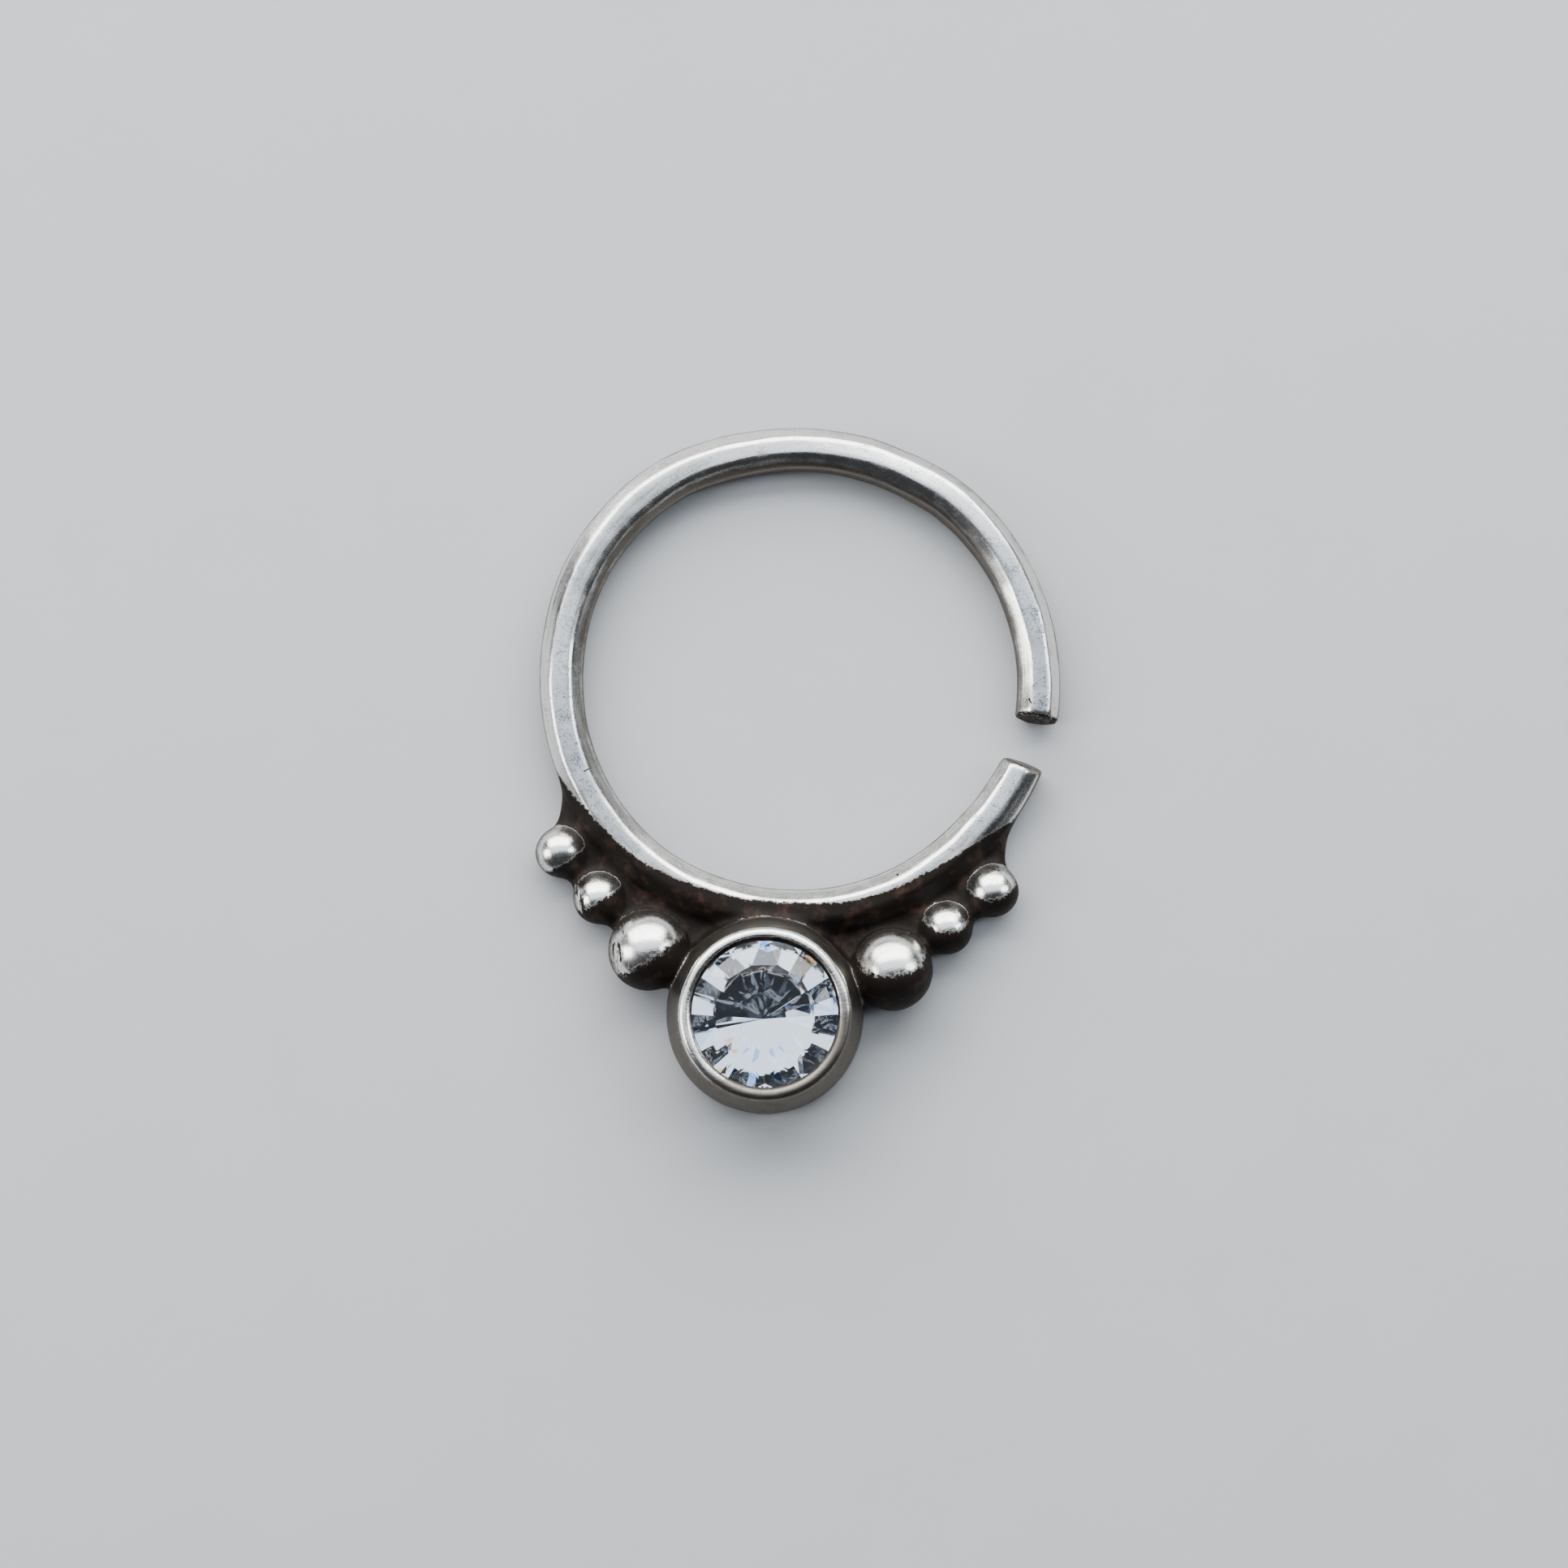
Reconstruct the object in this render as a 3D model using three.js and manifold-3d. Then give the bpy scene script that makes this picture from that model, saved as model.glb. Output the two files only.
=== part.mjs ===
// Septum ring: an open hoop of filed silver wire, a row of silver granules along its
// lower edge, and a tube setting with a round cut stone below it.
// Millimetres. The ring lies on its filed back: +Z is the side of the stone's table,
// +Y the top of the hoop, -Y the stone, and +X the side of the hoop's gap.
// The pieces are placed from the hoop's centre. The whole is then moved so that the
// origin is the middle of its footprint, on the plane of its back.
import * as THREE from 'three';
import { mergeVertices } from 'three/addons/utils/BufferGeometryUtils.js';
import Module from 'manifold-3d';

// Hoop wire: an octagonal section with softened edges, in steps along the hoop.
// The softening and the step are in degrees.
const WIRE_SIDES = 8;
const WIRE_DEPTH = 1.0;
const WIRE_FILING = 0.03;
const WIRE_BACK = 0.02;
const WIRE_END_ROUNDING = 0.12;
const WIRE_EDGE_SOFTENING = 8;
const WIRE_STEP = 5;

// Stations of the hoop, anticlockwise from +X: angle and roll of the section in
// degrees, radius of its middle line and width of its section in millimetres
const HOOP_STATIONS = [
  { angle: -9.5, radius: 5.54, width: 0.98, roll: 4 },
  { angle: 20, radius: 5.49, width: 0.96, roll: 6 },
  { angle: 50, radius: 5.44, width: 0.98, roll: 12 },
  { angle: 80, radius: 5.35, width: 0.96, roll: 8 },
  { angle: 110, radius: 5.43, width: 1.02, roll: 0 },
  { angle: 145, radius: 5.56, width: 1.04, roll: -5 },
  { angle: 180, radius: 5.5, width: 0.99, roll: 2 },
  { angle: 215, radius: 5.5, width: 1.0, roll: 0 },
  { angle: 250, radius: 5.4, width: 1.0, roll: 0 },
  { angle: 280, radius: 5.34, width: 1.0, roll: 0 },
  { angle: 310, radius: 5.34, width: 1.0, roll: 0 },
  { angle: 325, radius: 5.41, width: 1.0, roll: -4 },
  { angle: 339.5, radius: 5.51, width: 0.92, roll: -8 },
];

// Granules with filed backs, from the left end of the row to its right end
const GRANULES = [
  { x: -5.52, y: -3.98, radius: 0.57 },
  { x: -4.63, y: -5.05, radius: 0.58 },
  { x: -3.48, y: -6.25, radius: 0.92 },
  { x: 2.13, y: -6.7, radius: 0.93 },
  { x: 3.39, y: -5.74, radius: 0.59 },
  { x: 4.46, y: -4.88, radius: 0.59 },
];
const GRANULE_SIDES = 16;
const GRANULE_ROWS = 12;
const GRANULE_FILING = 0.08;

// Solder web between the hoop, the granules and the setting, from one angle of the
// hoop to another
const WEB_FIRST_ANGLE = 203;
const WEB_LAST_ANGLE = 328;
const WEB_FRONT = 0.55;
const WEB_BACK = 0.06;
const WEB_EDGE_ROUNDING = 0.12;
const WEB_SETTING_REACH = 1.2;

// Setting: a cup whose wall leans in to a lip rubbed over the stone
const SETTING_CENTRE = { x: -0.8, y: -7.72 };
const SETTING_HEIGHT = 2.22;
const SETTING_BACK_RADIUS = 2.28;
const SETTING_BELLY = { radius: 2.27, height: 1.1 };
const LIP_OUTER = { radius: 1.97, height: 2.05 };
const LIP_TOP_RADIUS = 1.81;
const LIP_INNER_RADIUS = 1.66;
const SETTING_SIDES = 48;
const SETTING_CURVE_STEPS = 6;

// Stone: a round cut with a flat table and a pointed back
const STONE_RADIUS = 1.85;
const STONE_TABLE_RADIUS = 1.15;
const STONE_TABLE_HEIGHT = 2.15;
const STONE_GIRDLE = 0.07;
const STONE_CROWN_ANGLE = 22;
const STONE_PAVILION_ANGLE = 41.5;
const STONE_PAVILION_BREAK_RADIUS = 1.5;
const STONE_FOLDS = 12;
const STONE_CLEARANCE = 0.05;

// Points of one piece that lie closer than this are one point
const WELD = 1e-4;

const wasm = await Module();
wasm.setup();

const radians = THREE.MathUtils.degToRad;

// Only the position is kept, so that shared points merge
function toSolid(geometry) {
  const bare = new THREE.BufferGeometry();
  bare.setAttribute('position', geometry.getAttribute('position'));
  bare.setIndex(geometry.getIndex());
  const merged = mergeVertices(bare, WELD);
  return new wasm.Manifold(new wasm.Mesh({
    numProp: 3,
    vertProperties: new Float32Array(merged.getAttribute('position').array),
    triVerts: new Uint32Array(merged.getIndex().array),
  }));
}

function toGeometry(solid) {
  const mesh = solid.getMesh();
  const geometry = new THREE.BufferGeometry();
  geometry.setAttribute('position', new THREE.BufferAttribute(mesh.vertProperties, 3));
  geometry.setIndex(new THREE.BufferAttribute(mesh.triVerts, 1));
  geometry.computeVertexNormals();
  return geometry;
}

// A closed skin over a row of rings that have the same number of points
function loft(rings) {
  const sides = rings[0].length;
  const points = rings.flat();
  const index = [];
  for (let ring = 0; ring + 1 < rings.length; ring += 1) {
    for (let side = 0; side < sides; side += 1) {
      const next = (side + 1) % sides;
      const a = ring * sides + side;
      const b = ring * sides + next;
      index.push(a, b + sides, b, a, a + sides, b + sides);
    }
  }
  const last = (rings.length - 1) * sides;
  for (let side = 1; side + 1 < sides; side += 1) {
    index.push(0, side, side + 1);
    index.push(last, last + side + 1, last + side);
  }
  const geometry = new THREE.BufferGeometry().setFromPoints(points);
  geometry.setIndex(index);
  return geometry;
}

// Smooth value of one column of the hoop's stations at an angle
function hoopValue(column, angle) {
  let row = HOOP_STATIONS.findIndex((station) => station.angle > angle) - 1;
  if (row < 0) {
    row = angle <= HOOP_STATIONS[0].angle ? 0 : HOOP_STATIONS.length - 2;
  }
  const before = HOOP_STATIONS[Math.max(row - 1, 0)];
  const start = HOOP_STATIONS[row];
  const end = HOOP_STATIONS[row + 1];
  const after = HOOP_STATIONS[Math.min(row + 2, HOOP_STATIONS.length - 1)];
  const span = end.angle - start.angle;
  const t = (angle - start.angle) / span;
  const slopeIn = ((end[column] - before[column]) / (end.angle - before.angle)) * span;
  const slopeOut = ((after[column] - start[column]) / (after.angle - start.angle)) * span;
  const rise = end[column] - start[column];
  return start[column]
    + t * slopeIn
    + t * t * (3 * rise - 2 * slopeIn - slopeOut)
    + t * t * t * (slopeIn + slopeOut - 2 * rise);
}

// A point of the wire, whose back is filed flat, just short of the setting's back
function hoopPoint(angle, outward = 0, up = 0) {
  const radius = hoopValue('radius', angle) + outward;
  return new THREE.Vector3(
    radius * Math.cos(radians(angle)),
    radius * Math.sin(radians(angle)),
    Math.max(WIRE_DEPTH / 2 - WIRE_FILING + up, WIRE_BACK),
  );
}

// The wire's section at an angle of the hoop, made smaller near its ends
function wireSection(angle, inset) {
  const roll = hoopValue('roll', angle);
  const halfWidth = hoopValue('width', angle) / 2 - inset;
  const halfDepth = WIRE_DEPTH / 2 - inset;
  const corner = 180 / WIRE_SIDES;
  const reach = 1 / Math.cos(radians(corner - WIRE_EDGE_SOFTENING));
  const section = [];
  for (let edge = 0; edge < WIRE_SIDES; edge += 1) {
    for (const side of [-1, 1]) {
      const turn = radians(corner * (2 * edge + 1) + side * WIRE_EDGE_SOFTENING);
      const outward = halfWidth * reach * Math.cos(turn);
      const up = halfDepth * reach * Math.sin(turn);
      const lean = radians(-roll);
      section.push(hoopPoint(
        angle,
        outward * Math.cos(lean) - up * Math.sin(lean),
        outward * Math.sin(lean) + up * Math.cos(lean),
      ));
    }
  }
  return section;
}

function hoopWire() {
  const first = HOOP_STATIONS[0];
  const last = HOOP_STATIONS[HOOP_STATIONS.length - 1];
  const firstRounding = THREE.MathUtils.radToDeg(WIRE_END_ROUNDING / first.radius);
  const lastRounding = THREE.MathUtils.radToDeg(WIRE_END_ROUNDING / last.radius);
  const start = first.angle + firstRounding;
  const steps = Math.round((last.angle - lastRounding - start) / WIRE_STEP);
  const step = (last.angle - lastRounding - start) / steps;
  const rings = [wireSection(first.angle, WIRE_END_ROUNDING)];
  for (let count = 0; count <= steps; count += 1) {
    rings.push(wireSection(start + count * step, 0));
  }
  rings.push(wireSection(last.angle, WIRE_END_ROUNDING));
  return toSolid(loft(rings));
}

// A ball filed flat where it would reach below the back
function granule({ x, y, radius }) {
  const ball = new THREE.SphereGeometry(radius, GRANULE_SIDES, GRANULE_ROWS);
  ball.rotateX(Math.PI / 2);
  ball.translate(x, y, radius - GRANULE_FILING);
  const points = ball.getAttribute('position');
  for (let point = 0; point < points.count; point += 1) {
    points.setZ(point, Math.max(points.getZ(point), 0));
  }
  return toSolid(ball);
}

// A plate whose edge runs along the hoop's middle line and back through the granules
function solderWeb() {
  const outline = [];
  for (let angle = WEB_FIRST_ANGLE; angle <= WEB_LAST_ANGLE; angle += WIRE_STEP) {
    outline.push(hoopPoint(angle));
  }
  const middle = GRANULES.length / 2;
  const anchor = { x: SETTING_CENTRE.x, y: SETTING_CENTRE.y + WEB_SETTING_REACH };
  const row = [...GRANULES.slice(0, middle), anchor, ...GRANULES.slice(middle)];
  outline.push(...row.reverse());
  const shape = new THREE.Shape(outline.map(({ x, y }) => new THREE.Vector2(x, y)));
  const plate = new THREE.ExtrudeGeometry(shape, {
    depth: WEB_FRONT - WEB_BACK - 2 * WEB_EDGE_ROUNDING,
    bevelThickness: WEB_EDGE_ROUNDING,
    bevelSize: WEB_EDGE_ROUNDING,
    bevelSegments: 2,
    curveSegments: 1,
  });
  plate.translate(0, 0, WEB_BACK + WEB_EDGE_ROUNDING);
  return toSolid(plate);
}

// Heights of the stone's tiers, from its table down to its point
function stoneTiers() {
  const crown = Math.tan(radians(STONE_CROWN_ANGLE));
  const pavilion = Math.tan(radians(STONE_PAVILION_ANGLE));
  const girdleTop = STONE_TABLE_HEIGHT - (STONE_RADIUS - STONE_TABLE_RADIUS) * crown;
  const girdleBottom = girdleTop - STONE_GIRDLE;
  const point = girdleBottom - STONE_RADIUS * pavilion;
  const breakReach = STONE_PAVILION_BREAK_RADIUS * Math.cos(Math.PI / STONE_FOLDS);
  return { girdleTop, girdleBottom, point, pavilionBreak: point + breakReach * pavilion, crown };
}

// The cup: its bellied outside, its lip, and a seat with a clearance round the stone
function setting() {
  const { girdleTop, girdleBottom, point, crown } = stoneTiers();
  const seatRadius = STONE_RADIUS + STONE_CLEARANCE;
  const lipUnderside = girdleTop + STONE_CLEARANCE + (seatRadius - LIP_INNER_RADIUS) * crown;
  const profile = new THREE.Path();
  profile.moveTo(0, 0);
  profile.lineTo(SETTING_BACK_RADIUS, 0);
  profile.quadraticCurveTo(SETTING_BELLY.radius, SETTING_BELLY.height, LIP_OUTER.radius, LIP_OUTER.height);
  profile.quadraticCurveTo(LIP_OUTER.radius, SETTING_HEIGHT, LIP_TOP_RADIUS, SETTING_HEIGHT);
  profile.quadraticCurveTo(LIP_INNER_RADIUS, SETTING_HEIGHT, LIP_INNER_RADIUS, lipUnderside);
  profile.lineTo(seatRadius, girdleTop + STONE_CLEARANCE);
  profile.lineTo(seatRadius, girdleBottom - STONE_CLEARANCE);
  profile.lineTo(0, point - STONE_CLEARANCE);
  const cup = new THREE.LatheGeometry(profile.getPoints(SETTING_CURVE_STEPS), SETTING_SIDES);
  cup.rotateX(Math.PI / 2);
  cup.translate(SETTING_CENTRE.x, SETTING_CENTRE.y, 0);
  return toSolid(cup);
}

// Everything that solder holds together
function silverRing() {
  let silver = hoopWire().add(solderWeb());
  for (const row of GRANULES) {
    silver = silver.add(granule(row));
  }
  return toGeometry(silver.add(setting()));
}

// A table whose edges each send a facet to the girdle, over a back of mains and halves that meet in a point
function cutStone() {
  const tiers = stoneTiers();
  const fold = 360 / STONE_FOLDS;
  const points = [];
  const tier = (radius, height, count, offset) => {
    const first = points.length;
    for (let place = 0; place < count; place += 1) {
      const angle = radians(offset + (place * 360) / count);
      points.push(new THREE.Vector3(radius * Math.cos(angle), radius * Math.sin(angle), height));
    }
    return (place) => first + ((place + count) % count);
  };
  const table = tier(STONE_TABLE_RADIUS, STONE_TABLE_HEIGHT, STONE_FOLDS, fold / 2);
  const top = tier(STONE_RADIUS, tiers.girdleTop, 2 * STONE_FOLDS, fold / 2);
  const bottom = tier(STONE_RADIUS, tiers.girdleBottom, 2 * STONE_FOLDS, fold / 2);
  const halves = tier(STONE_PAVILION_BREAK_RADIUS, tiers.pavilionBreak, STONE_FOLDS, fold);
  const point = tier(0, tiers.point, 1, 0);
  const facets = [];
  for (let k = 1; k + 1 < STONE_FOLDS; k += 1) {
    facets.push([table(0), table(k), table(k + 1)]);
  }
  for (let k = 0; k < STONE_FOLDS; k += 1) {
    facets.push([table(k), top(2 * k), top(2 * k + 1)]);
    facets.push([table(k), top(2 * k + 1), table(k + 1)]);
    facets.push([table(k + 1), top(2 * k + 1), top(2 * k + 2)]);
    facets.push([point(0), bottom(2 * k), halves(k - 1)]);
    facets.push([point(0), halves(k), bottom(2 * k)]);
    facets.push([halves(k), bottom(2 * k + 1), bottom(2 * k)]);
    facets.push([halves(k), bottom(2 * k + 2), bottom(2 * k + 1)]);
  }
  for (let k = 0; k < 2 * STONE_FOLDS; k += 1) {
    facets.push([top(k), bottom(k), bottom(k + 1)]);
    facets.push([top(k), bottom(k + 1), top(k + 1)]);
  }
  const stone = new THREE.BufferGeometry().setFromPoints(points);
  stone.setIndex(facets.flat());
  stone.computeVertexNormals();
  return stone;
}

const silver = new THREE.MeshStandardMaterial({ color: 0xb9b5ae, roughness: 0.28, metalness: 1.0 });
const crystal = new THREE.MeshStandardMaterial({ color: 0xe8edf2, roughness: 0.05, metalness: 0.0 });

const silverMesh = new THREE.Mesh(silverRing(), silver);
silverMesh.name = 'silver_ring';

const stoneMesh = new THREE.Mesh(cutStone(), crystal);
stoneMesh.name = 'stone';
stoneMesh.position.set(SETTING_CENTRE.x, SETTING_CENTRE.y, 0);

const septumRing = new THREE.Group();
septumRing.add(silverMesh, stoneMesh);
const footprint = new THREE.Box3().setFromObject(septumRing, true);
const middle = footprint.getCenter(new THREE.Vector3());
septumRing.position.set(-middle.x, -middle.y, -footprint.min.z);

export default septumRing;
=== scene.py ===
"""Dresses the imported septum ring: soldered silver as one worn form, a cut stone, and a small stage."""

import math

import bmesh
import bpy
from mathutils import Matrix, Vector


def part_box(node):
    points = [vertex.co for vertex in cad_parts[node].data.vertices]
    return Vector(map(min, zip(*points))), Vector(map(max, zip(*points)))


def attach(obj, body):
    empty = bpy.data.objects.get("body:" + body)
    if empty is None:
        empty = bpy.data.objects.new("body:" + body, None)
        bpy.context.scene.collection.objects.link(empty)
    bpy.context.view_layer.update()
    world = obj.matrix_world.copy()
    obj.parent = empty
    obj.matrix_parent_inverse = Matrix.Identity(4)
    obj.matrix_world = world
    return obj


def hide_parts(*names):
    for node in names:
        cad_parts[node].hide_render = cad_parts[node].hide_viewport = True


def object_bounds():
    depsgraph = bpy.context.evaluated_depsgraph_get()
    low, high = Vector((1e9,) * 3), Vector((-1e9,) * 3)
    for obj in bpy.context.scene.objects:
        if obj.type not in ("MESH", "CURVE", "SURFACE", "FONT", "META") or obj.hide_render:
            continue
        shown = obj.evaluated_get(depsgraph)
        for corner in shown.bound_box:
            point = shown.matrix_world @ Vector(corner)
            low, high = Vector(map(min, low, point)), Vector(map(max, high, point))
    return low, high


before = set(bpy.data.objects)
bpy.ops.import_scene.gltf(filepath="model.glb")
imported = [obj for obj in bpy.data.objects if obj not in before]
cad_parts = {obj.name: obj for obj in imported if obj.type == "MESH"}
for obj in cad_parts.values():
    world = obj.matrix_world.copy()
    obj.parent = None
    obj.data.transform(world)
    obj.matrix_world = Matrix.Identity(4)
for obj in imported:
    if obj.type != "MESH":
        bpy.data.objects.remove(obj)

bl_info = {
    "name": "Septum ring",
    "version": (1, 0, 0),
    "blender": (4, 5, 0),
    "location": "3D View > Sidebar > Septum ring",
    "description": "Builds an oxidised silver septum ring with granules and a foiled stone",
    "category": "Add Mesh",
}

MM = 0.001
CAD_LOW, CAD_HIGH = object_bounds()

# Places are in millimetres from the middle of the hoop, with the ring lying on its back.
SETTING_PLACE = Vector((-0.8, -7.72, 0.0))
STONE_LOW, STONE_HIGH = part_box("stone")
STONE_AXIS = Vector(((STONE_LOW.x + STONE_HIGH.x) / 2, (STONE_LOW.y + STONE_HIGH.y) / 2, 0.0))
HOOP_CENTRE = STONE_AXIS - SETTING_PLACE * MM

# Angle in degrees, then radius and width of the wire in millimetres, then its roll in degrees.
HOOP_STATIONS = [
    (-9.5, 5.54, 0.98, 4.0),
    (20.0, 5.49, 0.96, 6.0),
    (50.0, 5.44, 0.98, 12.0),
    (80.0, 5.35, 0.96, 8.0),
    (110.0, 5.43, 1.02, 0.0),
    (145.0, 5.56, 1.04, -5.0),
    (180.0, 5.5, 0.99, 2.0),
    (215.0, 5.5, 1.0, 0.0),
    (250.0, 5.4, 1.0, 0.0),
    (280.0, 5.34, 1.0, 0.0),
    (310.0, 5.34, 1.0, 0.0),
    (325.0, 5.41, 1.0, -4.0),
    (339.5, 5.51, 0.92, -8.0),
]
UPPER_END = HOOP_STATIONS[0][0]
LOWER_END = HOOP_STATIONS[-1][0]
# Angle in the gap from which the hoop's turn is counted, and slant of the cut ends, in degrees.
HOOP_SEAM = -15.0
END_SLANT = 9.0
# Shares of the turn between which the upper end's half of the hoop fades out.
UPPER_TURN = (0.5, 0.4)

# Middle and radius of each granule in millimetres, the way its polished side faces, which is towards the
# light, how far round that side ends, and how strongly the oxide streaks its left.
# Beyond the polished side the black is oxide and painted shade.
GRANULES = [
    (-5.52, -3.98, 0.57, (-0.54, 0.8, 0.25), -0.35, 0.0),
    (-4.63, -5.05, 0.58, (-0.54, 0.8, 0.1), -0.12, 1.0),
    (-3.48, -6.25, 0.92, (-0.54, 0.8, 0.05), -0.24, 1.0),
    (2.13, -6.7, 0.93, (-0.08, 0.74, 0.66), 0.46, 0.0),
    (3.39, -5.74, 0.59, (-0.08, 0.74, 0.66), 0.46, 0.3),
    (4.46, -4.88, 0.59, (-0.12, 0.72, 0.66), 0.3, 0.0),
]

# How far before and past that limit the polish fades into oxide and painted shade,
# and where on a granule's left, in radii, the streaks start and are full.
LIT_POLISH_BEFORE = 0.3
LIT_POLISH_PAST = 0.45
STREAKED_LEFT = (-0.3, -0.75)

# Angle in degrees, and radius in millimetres of the line on the wire's front where the patina starts.
PATINA_LINE = [
    (196.0, 6.3),
    (204.0, 5.9),
    (215.0, 5.71),
    (225.0, 5.6),
    (240.0, 5.36),
    (255.0, 5.22),
    (268.0, 5.15),
    (280.0, 5.22),
    (300.0, 5.3),
    (312.0, 5.43),
    (320.0, 5.62),
    (327.0, 5.9),
    (335.0, 6.3),
]

# Angle in degrees, and how much blue-grey grain the wire's filed front shows there.
FRONT_GRAIN = [
    (-9.5, 1.0),
    (15.0, 0.9),
    (40.0, 0.55),
    (75.0, 0.3),
    (110.0, 0.25),
    (150.0, 0.35),
    (178.0, 0.6),
    (197.0, 0.9),
    (220.0, 0.45),
    (255.0, 0.25),
    (295.0, 0.3),
    (322.0, 0.6),
    (339.5, 0.8),
]

# Facets with painted fire, tints that stand in for coloured flashes of light: angle and half their
# spread in degrees, then from -1 for blue to 1 for amber.
PAINTED_FIRE = [
    (90.0, 8.0, -1.0),
    (52.0, 7.0, 1.0),
    (200.0, 7.0, -0.5),
]

# The solder web's stretch of the hoop in degrees, and how far over the setting's middle it starts.
WEB_FIRST_ANGLE = 203.0
WEB_LAST_ANGLE = 328.0
WEB_ANGLE_STEP = 5.0
WEB_SETTING_REACH = 1.2

# How far the stone's point lies off its axis, in millimetres.
STONE_POINT_DRIFT = (-0.04, -0.1)

# Small dark nicks and pits: middle in millimetres, the way each runs, its length and half its width.
MARKS = [
    (-4.88, -2.09, (0.85, 0.53), 0.17, 0.024),
    (2.25, -4.51, (1.0, 0.0), 0.02, 0.045),
    (5.2, -1.0, (1.0, 0.0), 0.02, 0.04),
    (5.3, -0.5, (0.4, -0.92), 0.12, 0.03),
    (-5.36, 0.1, (1.0, 0.0), 0.01, 0.028),
    (-5.42, -0.42, (1.0, 0.0), 0.01, 0.024),
]

# Where a finish starts and where it is full, in millimetres from the form that it follows.
GRANULE_SKIN = (0.1, 0.02)
WIRE_SKIN = (0.16, 0.02)
SETTING_SKIN = (0.12, 0.02)
PATINA_EDGE = (-0.16, 0.16)
CUT_FACE = (-0.12, -0.03)
BORE_WALL = (-0.16, -0.44)
LIP_TOP = (1.76, 2.04)
LIP_INSIDE = (1.74, 1.67)
WALL_OFF_WEB = (0.1, 0.7)
FILED_BACK = (0.1, 0.03)

# The setting's side away from the light, where brown film is painted as shade: its direction per
# millimetre, how far up the lip the painted shade climbs there, how far round it reaches,
# and how far the dark inside of the lip, oxide and painted shade, leans towards the hoop.
SHADE_SIDE = (0.26, -0.42, 0.0)
SHADE_RISE = 0.16
SHADE_REACH = (-0.35, 0.7)
INSIDE_SHADE_LEAN = (0.0, 0.04, 0.0)

# How strong the patina, the film and the painted shade are in single places, from 0 to 1.
WALL_CLEANING = 0.8
BACK_CLEANING = 0.7
UPPER_END_PATINA = 0.62
END_FILM = 0.7
PATINA_FILM = 0.8
PATINA_FILM_EDGE = (0.1, 0.7)
SHADE_FILM = 0.9
FLANK_SHADE = 0.85
BORE_FILM = 0.68
# How fast the bore's film grows per millimetre towards the top of the hoop: painted shade.
BORE_SHADE_PER_MM = 0.07

# Upward part of the normal: where the wire's flanks, which get brown film as painted shade, end above
# and below, and where its front is flat.
FLANK_ABOVE = (0.92, 0.1)
FLANK_BELOW = (-0.95, -0.6)
FLAT_FRONT = (0.84, 0.97)

# Waves of the wandering facets round the hoop, and per metre across the wire.
FACET_WAVES_ROUND = 26.0
FACET_WAVES_ACROSS = 300.0
# Waves per millimetre of the uneven surface.
HAND_WAVES = 0.9
# Shares that bring distances from the seat's two slopes near to true lengths.
SEAT_CROWN_SHARE = 0.85
SEAT_CUP_SHARE = 0.8
# Room round the silver for its mesh in millimetres, and the steps that draw the mesh onto the form.
MESH_MARGIN = 0.2
DRAW_STEPS = 4
DRAW_SHARE = 0.9

# Noises in the silver's finish: waves per millimetre, detail and roughness.
CRUMBS = (12.0, 4.0, 0.7)
PATCHES = (2.2, 3.0, 0.6)
CLOUD = (3.0, 4.0, 0.6)
FLECKS = (20.0, 3.0, 0.7)
REDDISH = (2.6, 4.0, 0.6)
GRAIN = (34.0, 3.0, 0.6)
CRUST = (9.0, 5.0, 0.65)
# Noises that are stretched along the filing and the drawing: waves along each axis.
FILED_WAVES = (5.0, 18.0, 18.0)
DRAWN_WAVES = (17.0, 2.0, 6.0)
# Levels between which each of them comes in.
FLECK_LEVELS = (0.54, 0.72)
BLACK_LEVELS = (0.42, 0.6)
BROWN_LEVELS = (0.25, 0.85)
REDDISH_LEVELS = (0.5, 0.72)
# Height in millimetres above which the front's marks show, and the depth of the finest relief.
MARKED_FRONT = (0.45, 0.6)
RELIEF_DEPTH = 0.012
RELIEF_STRENGTH = 0.4

# Gloss of the oxide, the glass, the foil and the floor.
OXIDE_SPECULAR = 0.25
GLASS_IOR = 1.56
FOIL_CLOUD_WAVES = 4.0
FLOOR_GRAIN_WAVES = 400.0
FLOOR_GRAIN_SHADE = 0.94
FLOOR_ROUGHNESS = 0.65
LIGHT_BOUNCES = 12

# Stage, in millimetres: what the camera aims at and stands over, from the middle of the hoop.
PICTURE_MIDDLE = Vector((-0.36, -2.4, 0.5))
CAMERA_FOOT = Vector((-0.8, -8.5, 0.5))
SENSOR_WIDTH = 36.0
CLIP_START = 5.0
FLOOR_REACH = 400.0
FLOOR_DROP = 0.01

# Panels of light: name, place from the picture's middle, width and height in millimetres,
# the setting that holds the power, the share of it, and the tint.
PANELS = [
    ("softbox", (-15.0, 170.0, 120.0), 420.0, 180.0, "key_power", 1.0, (1.0, 0.99, 0.97)),
    ("sky_panel", (-20.0, 110.0, 250.0), 420.0, 240.0, "fill_power", 1.0, (0.86, 0.93, 1.0)),
    ("west_panel", (-200.0, -20.0, 110.0), 100.0, 120.0, "side_power", 1.0, (1.0, 1.0, 1.0)),
    ("east_panel", (190.0, 40.0, 150.0), 70.0, 120.0, "side_power", 0.7, (0.9, 0.95, 1.0)),
]

# The stone's two coats, as slots of its mesh.
CLEAR = 0
FOILED = 1

# Sockets of a Mix node that is set to colours.
MIX_COLOURS_IN = (6, 7)
MIX_COLOUR_OUT = 2

# Layout of the node trees.
NODE_COLUMN = 190.0
NODE_ROW = 190.0
NODES_PER_COLUMN = 10


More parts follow.
